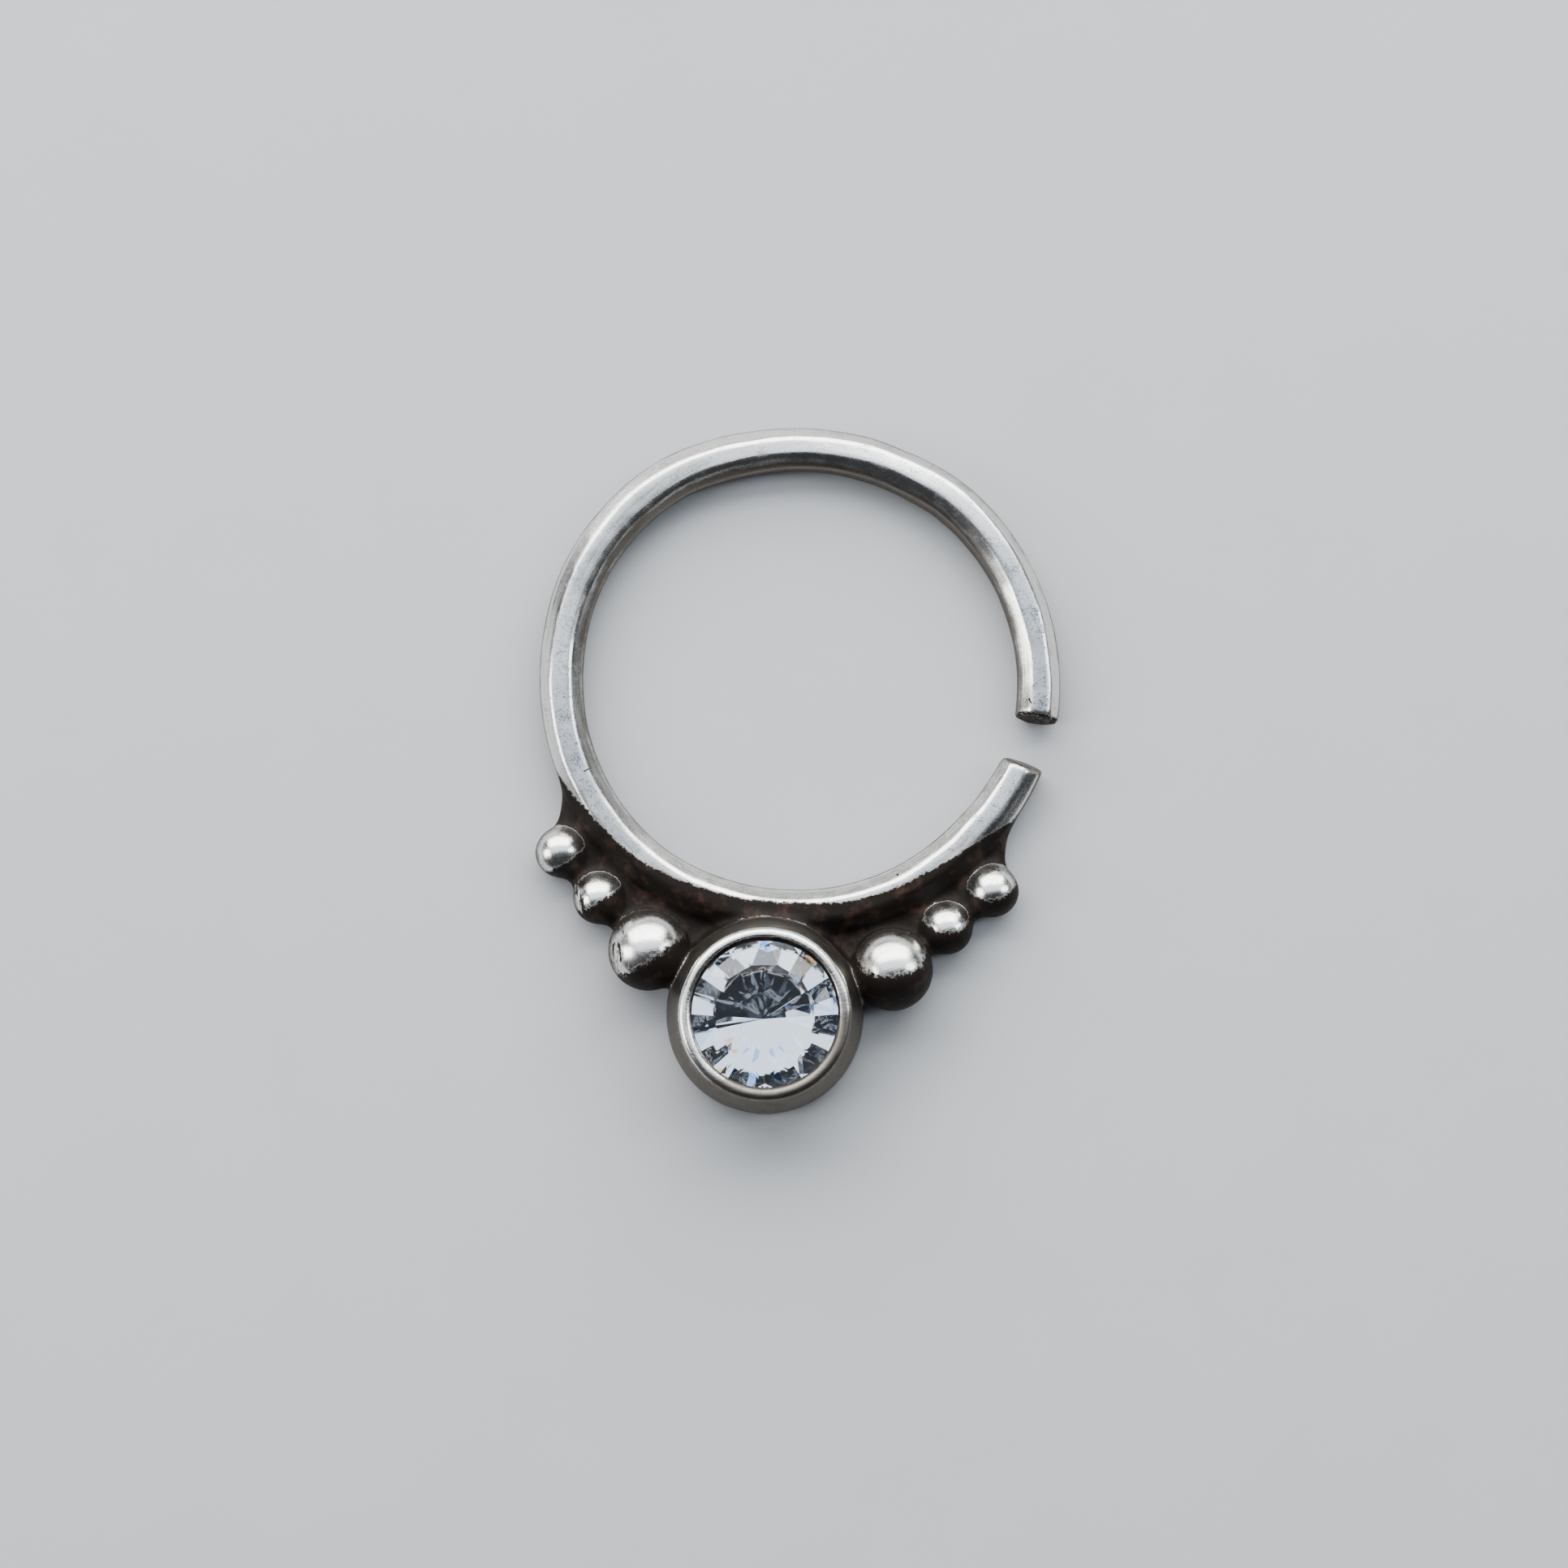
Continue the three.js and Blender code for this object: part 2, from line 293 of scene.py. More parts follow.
def size(name, millimetres, description):
    """A length that a user may change, kept in metres."""
    return bpy.props.FloatProperty(
        name=name,
        description=description,
        default=millimetres * MM,
        min=0.0,
        precision=6,
        subtype="DISTANCE",
        unit="LENGTH",
    )


def colour(name, red_green_blue, description):
    """A colour that a user may change."""
    return bpy.props.FloatVectorProperty(
        name=name,
        description=description,
        default=red_green_blue,
        min=0.0,
        max=1.0,
        subtype="COLOR",
    )


def slope(name, degrees, description):
    """An angle that a user may change."""
    return bpy.props.FloatProperty(
        name=name,
        description=description,
        default=math.radians(degrees),
        min=0.0,
        max=math.radians(89.0),
        subtype="ANGLE",
        unit="ROTATION",
    )


class SilverSizes(bpy.types.PropertyGroup):
    """Sizes of the soldered silver."""

    wire_depth: size("Wire depth", 1.0, "Depth of the hoop's wire before its back is filed")
    wire_middle: size("Wire middle", 0.47, "Height of the wire's middle line above the back")
    wire_edge: size("Wire edge", 0.09, "How far the filed edges of the wire are softened")
    end_rounding: size("End rounding", 0.16, "How far the wire's cut ends are rounded")
    facet_drift: size("Facet drift", 0.05, "How far the filed facets wander along the hoop")
    hand_wobble: size("Hand wobble", 0.03, "Unevenness of the whole surface")
    granule_filing: size("Granule filing", 0.08, "How much of each granule is filed off its back")
    solder_fillet: size("Solder fillet", 0.42, "Reach of the solder between neighbouring pieces")
    web_middle: size("Web middle", 0.3, "Height of the solder web's middle above the back")
    web_half: size("Web half depth", 0.235, "Half the depth of the solder web")
    setting_radius: size("Setting radius", 2.28, "Radius of the setting at its back")
    setting_draw: size("Setting draw", 0.3, "How far the setting's wall draws in up to the lip")
    lip_radius: size("Lip radius", 1.82, "Radius of the lip's middle circle")
    lip_height: size("Lip height", 2.055, "Height of the lip's middle circle")
    lip_roundness: size("Lip roundness", 0.165, "Radius of the lip's own section")
    mouth_radius: size("Mouth radius", 1.66, "Radius of the setting's mouth")
    seat_radius: size("Seat radius", 1.9, "Radius of the stone's seat under the lip")
    seat_floor: size("Seat floor", 0.11, "Height of the seat's lowest point above the back")
    seat_flat: size("Seat flat", 0.12, "Radius of the seat's level middle, behind the stone's point")
    seat_ledge: size("Seat ledge", 1.917, "Height at which the seat starts to close under the lip")
    seat_slope: slope("Seat slope", 41.5, "Slope of the seat behind the stone")
    lip_slope: slope("Lip slope", 22.0, "Slope of the lip's underside over the stone")
    back_edge: size("Back edge", 0.05, "How far the edges of the filed back are softened")
    mesh_step: size("Mesh step", 0.058, "Spacing of the mesh over the silver")


class StoneSizes(bpy.types.PropertyGroup):
    """Sizes of the cut stone."""

    radius: size("Radius", 1.85, "Radius of the stone's girdle")
    table_radius: size("Table radius", 1.15, "Radius of the flat table")
    table_height: size("Table height", 2.15, "Height of the table above the ring's back")
    girdle: size("Girdle", 0.07, "Depth of the stone's edge")
    break_radius: size("Break radius", 1.5, "Radius at which the back's main facets divide")
    crown_angle: slope("Crown angle", 22.0, "Slope of the facets round the table")
    pavilion_angle: slope("Pavilion angle", 41.5, "Slope of the facets behind the girdle")
    folds: bpy.props.IntProperty(
        name="Folds",
        description="Number of main facets round the stone",
        default=12,
        min=8,
        max=16,
    )


class RingFinish(bpy.types.PropertyGroup):
    """Colours and gloss of the silver and the stone."""

    silver: colour("Silver", (0.8, 0.79, 0.76), "Polished silver")
    # The tarnish colour is brown film, and also painted shade on the setting's side away from the light,
    # the bore and the steep flanks.
    tarnish_and_shade: colour("Tarnish_and_shade", (0.1, 0.083, 0.068), "Satin brown film on the setting's wall")
    # The patina colour is black oxide, and also painted shade on the granules' far sides and inside the
    # lip.
    patina_and_shade: colour("Patina_and_shade", (0.007, 0.005, 0.0042), "Black oxide in the recesses")
    patina_tint: colour("Patina tint", (0.032, 0.017, 0.012), "Reddish brown parts of the oxide")
    edge: colour("Edge", (0.62, 0.6, 0.57), "Reflection of surfaces seen at a slant")
    haze: colour("Haze", (0.4, 0.44, 0.51), "Blue-grey haze on the wire's filed front")
    speck: colour("Speck", (0.09, 0.12, 0.16), "Blue-grey specks on the filed faces")
    glass: colour("Glass", (0.97, 0.985, 1.0), "Clear body of the stone")
    # Painted fire: tints that stand in for coloured flashes of light in the stone.
    painted_fire_blue: colour("Blue fire", (0.15, 0.32, 1.0), "Facets that flash blue")
    painted_fire_amber: colour("Amber fire", (1.0, 0.46, 0.13), "Facets that flash amber")
    foil: colour("Foil", (0.9, 0.93, 0.97), "Mirror behind the stone")


class StageLook(bpy.types.PropertyGroup):
    """Floor, lights and camera."""

    floor: colour("Floor", (0.44, 0.455, 0.475), "Pale matt floor")
    surround: colour("Surround", (0.5, 0.55, 0.62), "Dim room around the lights")
    surround_strength: bpy.props.FloatProperty(
        name="Surround strength",
        description="Brightness of the room around the lights",
        default=0.07,
        min=0.0,
    )
    key_power: bpy.props.FloatProperty(
        name="Key light",
        description="Power of the large softbox beyond the top of the hoop",
        default=1.8,
        min=0.0,
        subtype="POWER",
        unit="POWER",
    )
    fill_power: bpy.props.FloatProperty(
        name="Fill light",
        description="Power of the panel high over the ring",
        default=0.65,
        min=0.0,
        subtype="POWER",
        unit="POWER",
    )
    side_power: bpy.props.FloatProperty(
        name="Side lights",
        description="Power of the small panel on the left, a little more than that on the right",
        default=0.3,
        min=0.0,
        subtype="POWER",
        unit="POWER",
    )
    camera_distance: size("Camera distance", 110.0, "Height of the camera over the wire's middle")
    lens: bpy.props.FloatProperty(
        name="Lens",
        description="Focal length on a sensor 36 mm wide",
        default=109.6,
        min=1.0,
    )


class RingSettings(bpy.types.PropertyGroup):
    """Everything that can be set on the ring and its stage."""

    sizes: bpy.props.PointerProperty(type=SilverSizes)
    stone: bpy.props.PointerProperty(type=StoneSizes)
    finish: bpy.props.PointerProperty(type=RingFinish)
    stage: bpy.props.PointerProperty(type=StageLook)


class Field:
    """An output of a node tree that formulas are written with."""

    def __init__(self, tree, socket):
        self.tree = tree
        self.socket = socket

    def math(self, operation, *others):
        return calculate(self.tree, operation, self, *others)

    def __add__(self, other):
        return self.math("ADD", other)

    def __sub__(self, other):
        return self.math("SUBTRACT", other)

    def __rsub__(self, other):
        return calculate(self.tree, "SUBTRACT", other, self)

    def __mul__(self, other):
        return self.math("MULTIPLY", other)

    def __truediv__(self, other):
        return self.math("DIVIDE", other)

    def __neg__(self):
        return self.math("MULTIPLY", -1.0)

    def __abs__(self):
        return self.math("ABSOLUTE")

    def least(self, other, blend=None):
        """The smaller of two values, with a smooth change from one to the other over blend."""
        if blend is None:
            return self.math("MINIMUM", other)
        return self.math("SMOOTH_MIN", other, blend)

    def most(self, other, blend=None):
        """The larger of two values, with a smooth change from one to the other over blend."""
        if blend is None:
            return self.math("MAXIMUM", other)
        return self.math("SMOOTH_MAX", other, blend)

    def rise(self, start, end):
        """0 below start and 1 above end, or the reverse if start is the larger."""
        if start > end:
            return 1.0 - self.rise(end, start)
        inputs = {"Value": self, "From Min": start, "From Max": end}
        node = add_node(self.tree, "ShaderNodeMapRange", inputs, interpolation_type="SMOOTHSTEP")
        return Field(self.tree, node.outputs[0])

    def rise_mm(self, limits):
        """The same rise for a length, from a pair of limits in millimetres."""
        start, end = limits
        return self.rise(start * MM, end * MM)


def feed(tree, socket, value):
    """Links a field to a socket, or sets a plain value on it."""
    if isinstance(value, Field):
        tree.links.new(value.socket, socket)
    else:
        socket.default_value = value


def add_node(tree, kind, inputs=None, **settings):
    """Adds a node with its settings and inputs, in the next free place of the tree's layout."""
    node = tree.nodes.new(kind)
    place = len(tree.nodes) - 1
    column, row = divmod(place, NODES_PER_COLUMN)
    node.location = (NODE_COLUMN * column, -NODE_ROW * row)
    for name, value in settings.items():
        setattr(node, name, value)
    for key, value in (inputs or {}).items():
        feed(tree, node.inputs[key], value)
    return node


def calculate(tree, operation, *values):
    """One step of arithmetic on fields and numbers."""
    node = add_node(tree, "ShaderNodeMath", dict(enumerate(values)), operation=operation)
    return Field(tree, node.outputs[0])


def vector_step(tree, operation, *values, output=0, **inputs):
    """One step of vector arithmetic."""
    fed = dict(enumerate(values))
    fed.update(inputs)
    node = add_node(tree, "ShaderNodeVectorMath", fed, operation=operation)
    return Field(tree, node.outputs[output])


def parts_of(tree, vector):
    """The X, Y and Z of a vector field."""
    node = add_node(tree, "ShaderNodeSeparateXYZ", {0: vector})
    return [Field(tree, output) for output in node.outputs]


def joined(tree, x, y, z):
    """A vector field from its X, Y and Z."""
    node = add_node(tree, "ShaderNodeCombineXYZ", {0: x, 1: y, 2: z})
    return Field(tree, node.outputs[0])


def noise(tree, vector, scale, detail=2.0, roughness=0.5):
    """Smooth noise from 0 to 1, with scale in waves per unit of the vector."""
    inputs = {"Vector": vector, "Scale": scale, "Detail": detail, "Roughness": roughness}
    node = add_node(tree, "ShaderNodeTexNoise", inputs)
    return Field(tree, node.outputs[0])


def stretched(tree, waves, *parts):
    """A vector field with its own number of waves along each of its parts."""
    return joined(tree, *[part * count for part, count in zip(parts, waves)])


def along_hoop(tree, turn, rows):
    """A smooth value along the hoop, from rows of angle and value."""
    values = [value for angle, value in rows]
    low = min(values)
    span = max(values) - low
    node = add_node(tree, "ShaderNodeFloatCurve", {"Value": turn})
    points = node.mapping.curves[0].points
    places = [((angle - HOOP_SEAM) / 360.0, (value - low) / span) for angle, value in rows]
    points[0].location = places[0]
    points[1].location = places[-1]
    for place in places[1:-1]:
        points.new(*place)
    node.mapping.update()
    return Field(tree, node.outputs[0]) * span + low


def new_geometry_tree(name, sockets):
    """An empty Geometry Nodes tree with its named inputs and outputs, and its two end nodes."""
    tree = bpy.data.node_groups.new(name, "GeometryNodeTree")
    for socket_name, direction, kind in sockets:
        tree.interface.new_socket(name=socket_name, in_out=direction, socket_type=kind)
    start = add_node(tree, "NodeGroupInput")
    end = add_node(tree, "NodeGroupOutput")
    return tree, start, end


def size_props():
    """The properties that hold the silver's sizes."""
    return [prop for prop in SilverSizes.bl_rna.properties if prop.type == "FLOAT"]


def size_sockets():
    """Named inputs for all the silver's sizes."""
    return [(prop.name, "INPUT", "NodeSocketFloat") for prop in size_props()]


def fields_of(tree, node):
    """The outputs of a node by name."""
    return {output.name: Field(tree, output) for output in node.outputs if output.name}


def wire_distance(tree, given, place, turn):
    """Distance from the hoop's wire, an octagon in section with wandering facets and cut ends."""
    x, y, z = parts_of(tree, place)
    reach = (x * x + y * y).math("SQRT")
    angles, radii, widths, rolls = zip(*HOOP_STATIONS)
    radius = along_hoop(tree, turn, list(zip(angles, radii))) * MM
    half_width = along_hoop(tree, turn, list(zip(angles, widths))) * (MM / 2)
    roll = along_hoop(tree, turn, list(zip(angles, rolls))).math("RADIANS")
    out = reach - radius
    up = z - given["Wire middle"]
    across = out * roll.math("COSINE") - up * roll.math("SINE")
    along_depth = out * roll.math("SINE") + up * roll.math("COSINE")
    half_depth = given["Wire depth"] * 0.5
    waves = (across * FACET_WAVES_ACROSS, along_depth * FACET_WAVES_ACROSS)
    wander = noise(tree, joined(tree, turn * FACET_WAVES_ROUND, *waves), 1.0, 1.0) - 0.5
    side = abs(across) - half_width
    face = abs(along_depth) - half_depth
    bevel = (abs(across) + abs(along_depth)) * math.sqrt(0.5) - (half_width + half_depth) * 0.5
    bevel = bevel + wander * given["Facet drift"]
    section = side.most(face, given["Wire edge"]).most(bevel, given["Wire edge"])
    ends = []
    lean = math.radians(END_SLANT)
    for angle, way in ((UPPER_END, 1.0), (LOWER_END, -1.0)):
        turned = math.radians(angle)
        level = way * math.cos(lean)
        normal = (level * math.sin(turned), -level * math.cos(turned), math.sin(lean))
        raised = vector_step(tree, "SUBTRACT", place, joined(tree, 0.0, 0.0, given["Wire middle"]))
        ends.append(vector_step(tree, "DOT_PRODUCT", raised, normal, output=1))
    gap = ends[0].least(ends[1])
    return section.most(gap, given["End rounding"]), reach, out, gap


def setting_distance(tree, given, place):
    """Distances from the setting's tube with its rubbed-over lip and from the stone's hollow."""
    middle = vector_step(tree, "SUBTRACT", place, SETTING_PLACE * MM)
    x, y, z = parts_of(tree, middle)
    reach = (x * x + y * y).math("SQRT")
    level = z / given["Lip height"]
    wall = reach - given["Setting radius"] + given["Setting draw"] * level * level
    tube = wall.most(z - given["Lip height"])
    lip_out = reach - given["Lip radius"]
    lip_up = z - given["Lip height"]
    lip = (lip_out * lip_out + lip_up * lip_up).math("SQRT") - given["Lip roundness"]
    body = tube.least(lip, given["Back edge"])
    mouth = (reach - given["Mouth radius"]).most(given["Seat ledge"] - z)
    lip_rise = given["Lip slope"].math("TANGENT")
    seat_rise = given["Seat slope"].math("TANGENT")
    crown = z - given["Seat ledge"] + (reach - given["Seat radius"]) * lip_rise
    cup = given["Seat floor"] - z + (reach - given["Seat flat"]) * seat_rise
    seat = (reach - given["Seat radius"]).most(crown * SEAT_CROWN_SHARE).most(cup * SEAT_CUP_SHARE)
    return body, mouth.least(seat), middle, reach


def build_distance_tree():
    """The silver as a distance, negative in the metal, and the amounts of each finish and of painted
    shade on it.
    """
    sockets = [
        ("Web plate", "INPUT", "NodeSocketGeometry"),
        ("Hoop centre", "INPUT", "NodeSocketVector"),
    ]
    sockets += size_sockets()
    for name in ("Distance", "Patina_and_shade", "Tarnish_and_shade", "Streaks", "Grain"):
        sockets.append((name, "OUTPUT", "NodeSocketFloat"))
    tree, start, end = new_geometry_tree("silver_distance", sockets)
    given = fields_of(tree, start)
    position = Field(tree, add_node(tree, "GeometryNodeInputPosition").outputs[0])
    place = vector_step(tree, "SUBTRACT", position, given["Hoop centre"])
    x, y, z = parts_of(tree, place)
    angle = calculate(tree, "ARCTAN2", y, x)
    turn = ((angle - math.radians(HOOP_SEAM)) / (2 * math.pi)).math("FRACT")

    wire, reach, out, gap = wire_distance(tree, given, place, turn)
    near = add_node(tree, "GeometryNodeProximity", {0: given["Web plate"]}, target_element="FACES")
    web = fields_of(tree, near)["Distance"] - given["Web half depth"]
    silver = wire.least(web, given["Solder fillet"])
    lit_polish = 0.0
    streaks = 0.0
    for gx, gy, radius, side, limit, streaked in GRANULES:
        centre = joined(tree, gx * MM, gy * MM, radius * MM - given["Granule filing"])
        arm = vector_step(tree, "SUBTRACT", place, centre)
        ball = vector_step(tree, "LENGTH", arm, output=1) - radius * MM
        silver = silver.least(ball, given["Solder fillet"])
        towards = Vector(side).normalized() / (radius * MM)
        # Painted shade: each granule's side turned to the light stays bare silver, and black oxide is
        # painted over its far side.
        toward_light = vector_step(tree, "DOT_PRODUCT", arm, tuple(towards), output=1)
        bare = ball.rise_mm(GRANULE_SKIN)
        bright = toward_light.rise(limit - LIT_POLISH_BEFORE, limit + LIT_POLISH_PAST)
        lit_polish = (bright * bare).most(lit_polish)
        leftward = parts_of(tree, arm)[0].rise_mm([share * radius for share in STREAKED_LEFT])
        streaks = (leftward * bare * streaked).most(streaks)
    setting, hollow, setting_place, setting_reach = setting_distance(tree, given, place)
    silver = silver.least(setting, given["Solder fillet"])
    uneven = noise(tree, vector_step(tree, "SCALE", place, Scale=1.0 / MM), HAND_WAVES) - 0.5
    silver = silver + uneven * given["Hand wobble"]
    silver = silver.most(-hollow, given["Back edge"])
    silver = silver.most(-z, given["Back edge"])
    feed(tree, end.inputs["Distance"], silver)

    line = along_hoop(tree, turn, PATINA_LINE) * MM
    past_line = (reach - line).rise_mm(PATINA_EDGE)
    on_wire = wire.rise_mm(WIRE_SKIN)
    cut_end = gap.rise_mm(CUT_FACE) * on_wire
    upper_end = cut_end * turn.rise(*UPPER_TURN)
    on_setting = setting.rise_mm(SETTING_SKIN)
    shaded_way = tuple(Vector(SHADE_SIDE) / MM)
    shaded = vector_step(tree, "DOT_PRODUCT", setting_place, shaded_way, output=1)
    # The dark inner side of the lip is oxide in the gap over the stone. It is painted as shade further
    # out on the hoop's side, which faces away from the light.
    shade_lean = vector_step(tree, "DOT_PRODUCT", setting_place, INSIDE_SHADE_LEAN, output=1)
    # The lip's polish starts higher on the side away from the light, which leaves painted shade there.
    lip = (z - shaded.most(0.0) * (SHADE_RISE * MM)).rise_mm(LIP_TOP) * on_setting
    inside_oxide_and_shade = (setting_reach - shade_lean).rise_mm(LIP_INSIDE) * on_setting
    lip = lip * (1.0 - inside_oxide_and_shade)
    free_wall = on_setting * web.rise_mm(WALL_OFF_WEB)
    kept = 1.0 - free_wall * (1.0 - inside_oxide_and_shade) * WALL_CLEANING
    # Patina: black oxide past the line, plus painted shade on the granules' far sides and inside the
    # lip.
    patina_and_shade = past_line * (1.0 - lit_polish.most(lip)) * kept
    patina_and_shade = patina_and_shade.most(upper_end * UPPER_END_PATINA)
    off_back = 1.0 - z.rise_mm(FILED_BACK) * BACK_CLEANING
    feed(tree, end.inputs["Patina_and_shade"], patina_and_shade * off_back)
    # Brown film on the bore wall: tarnish, plus painted shade that grows towards the top of the hoop,
    # where the wall faces away from the light.
    inner = out.rise_mm(BORE_WALL) * on_wire * (y * (BORE_SHADE_PER_MM / MM) + BORE_FILM)
    film_and_shade = (on_setting * (1.0 - lip)).most(inner)
    film_and_shade = film_and_shade.most(patina_and_shade.rise(*PATINA_FILM_EDGE) * PATINA_FILM)
    # Painted shade: brown film on the setting's side away from the light.
    film_and_shade = film_and_shade.most(on_setting * shaded.rise(*SHADE_REACH) * SHADE_FILM)
    film_and_shade = film_and_shade.most(cut_end * END_FILM)
    feed(tree, end.inputs["Tarnish_and_shade"], film_and_shade * off_back)
    feed(tree, end.inputs["Streaks"], streaks)
    grain = along_hoop(tree, turn, FRONT_GRAIN)
    feed(tree, end.inputs["Grain"], grain * on_wire * (1.0 - past_line))
    return tree


def build_silver_tree():
    """Meshes the silver's distance, draws the points onto its surface and stores the finish with its
    painted shade.
    """
    sockets = [
        ("Geometry", "INPUT", "NodeSocketGeometry"),
        ("Geometry", "OUTPUT", "NodeSocketGeometry"),
        ("Hoop centre", "INPUT", "NodeSocketVector"),
        ("Box low", "INPUT", "NodeSocketVector"),
        ("Box high", "INPUT", "NodeSocketVector"),
        ("Material", "INPUT", "NodeSocketMaterial"),
    ]
    tree, start, end = new_geometry_tree("silver_form", sockets + size_sockets())
    given = fields_of(tree, start)
    distance_tree = build_distance_tree()

    def distances():
        node = add_node(tree, "GeometryNodeGroup", node_tree=distance_tree)
        feed(tree, node.inputs["Web plate"], given["Geometry"])
        for name in ["Hoop centre"] + [prop.name for prop in size_props()]:
            feed(tree, node.inputs[name], given[name])
        return fields_of(tree, node)

    spans = parts_of(tree, vector_step(tree, "SUBTRACT", given["Box high"], given["Box low"]))
    inputs = {"Density": -distances()["Distance"], "Background": -1.0}
    inputs.update({"Min": given["Box low"], "Max": given["Box high"]})
    for name, span in zip("XYZ", spans):
        inputs["Resolution " + name] = (span / given["Mesh step"]).math("CEIL")
    cube = add_node(tree, "GeometryNodeVolumeCube", inputs)
    inputs = {"Volume": Field(tree, cube.outputs[0]), "Threshold": 0.0}
    shell = add_node(tree, "GeometryNodeVolumeToMesh", inputs)

    first = add_node(tree, "GeometryNodeRepeatInput")
    last = add_node(tree, "GeometryNodeRepeatOutput")
    first.pair_with_output(last)
    feed(tree, first.inputs["Iterations"], DRAW_STEPS)
    feed(tree, first.inputs["Geometry"], Field(tree, shell.outputs[0]))
    normal = Field(tree, add_node(tree, "GeometryNodeInputNormal").outputs[0])
    offset = vector_step(tree, "SCALE", normal, Scale=distances()["Distance"] * -DRAW_SHARE)
    moved = {"Geometry": fields_of(tree, first)["Geometry"], "Offset": offset}
    drawn = add_node(tree, "GeometryNodeSetPosition", moved)
    feed(tree, last.inputs["Geometry"], Field(tree, drawn.outputs[0]))

    finish = distances()
    upright = parts_of(tree, normal)[2]
    # Painted shade: brown film on all steep flanks keeps them darker than the floor they mirror.
    shaded_flank = upright.rise(*FLANK_ABOVE) * upright.rise(*FLANK_BELOW)
    finish["Tarnish_and_shade"] = finish["Tarnish_and_shade"].most(shaded_flank * FLANK_SHADE)
    finish["Grain"] = finish["Grain"] * upright.rise(*FLAT_FRONT)
    mesh = fields_of(tree, last)["Geometry"]
    for name in ("Patina_and_shade", "Tarnish_and_shade", "Streaks", "Grain"):
        inputs = {"Geometry": mesh, "Name": name.lower(), "Value": finish[name]}
        kind = "GeometryNodeStoreNamedAttribute"
        keeper = add_node(tree, kind, inputs, data_type="FLOAT", domain="POINT")
        mesh = Field(tree, keeper.outputs[0])
    smooth = add_node(tree, "GeometryNodeSetShadeSmooth", {"Geometry": mesh})
    inputs = {"Geometry": Field(tree, smooth.outputs[0])}
    real = add_node(tree, "GeometryNodeRealizeInstances", inputs)
    inputs = {"Geometry": Field(tree, real.outputs[0]), "Material": given["Material"]}
    coated = add_node(tree, "GeometryNodeSetMaterial", inputs)
    feed(tree, end.inputs["Geometry"], Field(tree, coated.outputs[0]))
    return tree


def new_object(name, mesh):
    """Puts a mesh in the scene at the origin."""
    piece = bpy.data.objects.new(name, mesh)
    bpy.context.scene.collection.objects.link(piece)
    return piece


def give_inputs(modifier, values):
    """Sets a Geometry Nodes modifier's inputs, found by name and set by identifier."""
    for item in modifier.node_group.interface.items_tree:
        if item.item_type == "SOCKET" and item.in_out == "INPUT" and item.name in values:
            modifier[item.identifier] = values[item.name]


def bake(piece):
    """Turns a piece with modifiers into the plain mesh that they give."""
    seen = piece.evaluated_get(bpy.context.evaluated_depsgraph_get())
    mesh = bpy.data.meshes.new_from_object(seen)
    mesh.name = piece.name
    piece.modifiers.clear()
    old = piece.data
    piece.data = mesh
    bpy.data.meshes.remove(old)


def hoop_radius_at(angle):
    """Radius of the wire's middle line at an angle, in millimetres."""
    for (start, near, *_), (end, far, *_) in zip(HOOP_STATIONS, HOOP_STATIONS[1:]):
        if start <= angle <= end:
            share = (angle - start) / (end - start)
            share = share * share * (3 - 2 * share)
            return near + (far - near) * share
    raise ValueError("no wire at %s degrees" % angle)


def web_plate(height):
    """The flat middle of the solder web, between the hoop's middle line and the row of granules."""
    outline = []
    steps = round((WEB_LAST_ANGLE - WEB_FIRST_ANGLE) / WEB_ANGLE_STEP)
    for step in range(steps + 1):
        angle = WEB_FIRST_ANGLE + (WEB_LAST_ANGLE - WEB_FIRST_ANGLE) * step / steps
        radius = hoop_radius_at(angle)
        turned = math.radians(angle)
        outline.append((radius * math.cos(turned), radius * math.sin(turned)))
    row = [granule[:2] for granule in GRANULES]
    row.insert(len(GRANULES) // 2, (SETTING_PLACE.x, SETTING_PLACE.y + WEB_SETTING_REACH))
    outline += reversed(row)
    mesh = bpy.data.meshes.new("web_plate")
    points = [HOOP_CENTRE + Vector((x * MM, y * MM, height)) for x, y in outline]
    mesh.from_pydata(points, [], [range(len(points))])
    return mesh


def new_material(name):
    """An empty node material and its surface shader."""
    material = bpy.data.materials.new(name)
    material.use_nodes = True
    tree = material.node_tree
    tree.nodes.clear()
    output = add_node(tree, "ShaderNodeOutputMaterial")
    shader = add_node(tree, "ShaderNodeBsdfPrincipled")
    tree.links.new(shader.outputs[0], output.inputs["Surface"])
    return material, tree, shader


def mix_colour(tree, share, first, second):
    """A colour between two, by share."""
    node = add_node(tree, "ShaderNodeMix", {0: share}, data_type="RGBA")
    for index, value in zip(MIX_COLOURS_IN, (first, second)):
        if not isinstance(value, Field):
            value = (*value, 1.0)
        feed(tree, node.inputs[index], value)
    return Field(tree, node.outputs[MIX_COLOUR_OUT])


def stored(tree, name):
    """A value stored on the mesh."""
    node = add_node(tree, "ShaderNodeAttribute", attribute_name=name)
    return Field(tree, node.outputs["Fac"])


def object_place(tree):
    """Object coordinates in millimetres from the middle of the hoop."""
    here = Field(tree, add_node(tree, "ShaderNodeTexCoord").outputs["Object"])
    inputs = {"Vector": here, "Location": tuple(-HOOP_CENTRE / MM), "Scale": (1 / MM,) * 3}
    node = add_node(tree, "ShaderNodeMapping", inputs, vector_type="POINT")
    return Field(tree, node.outputs[0])


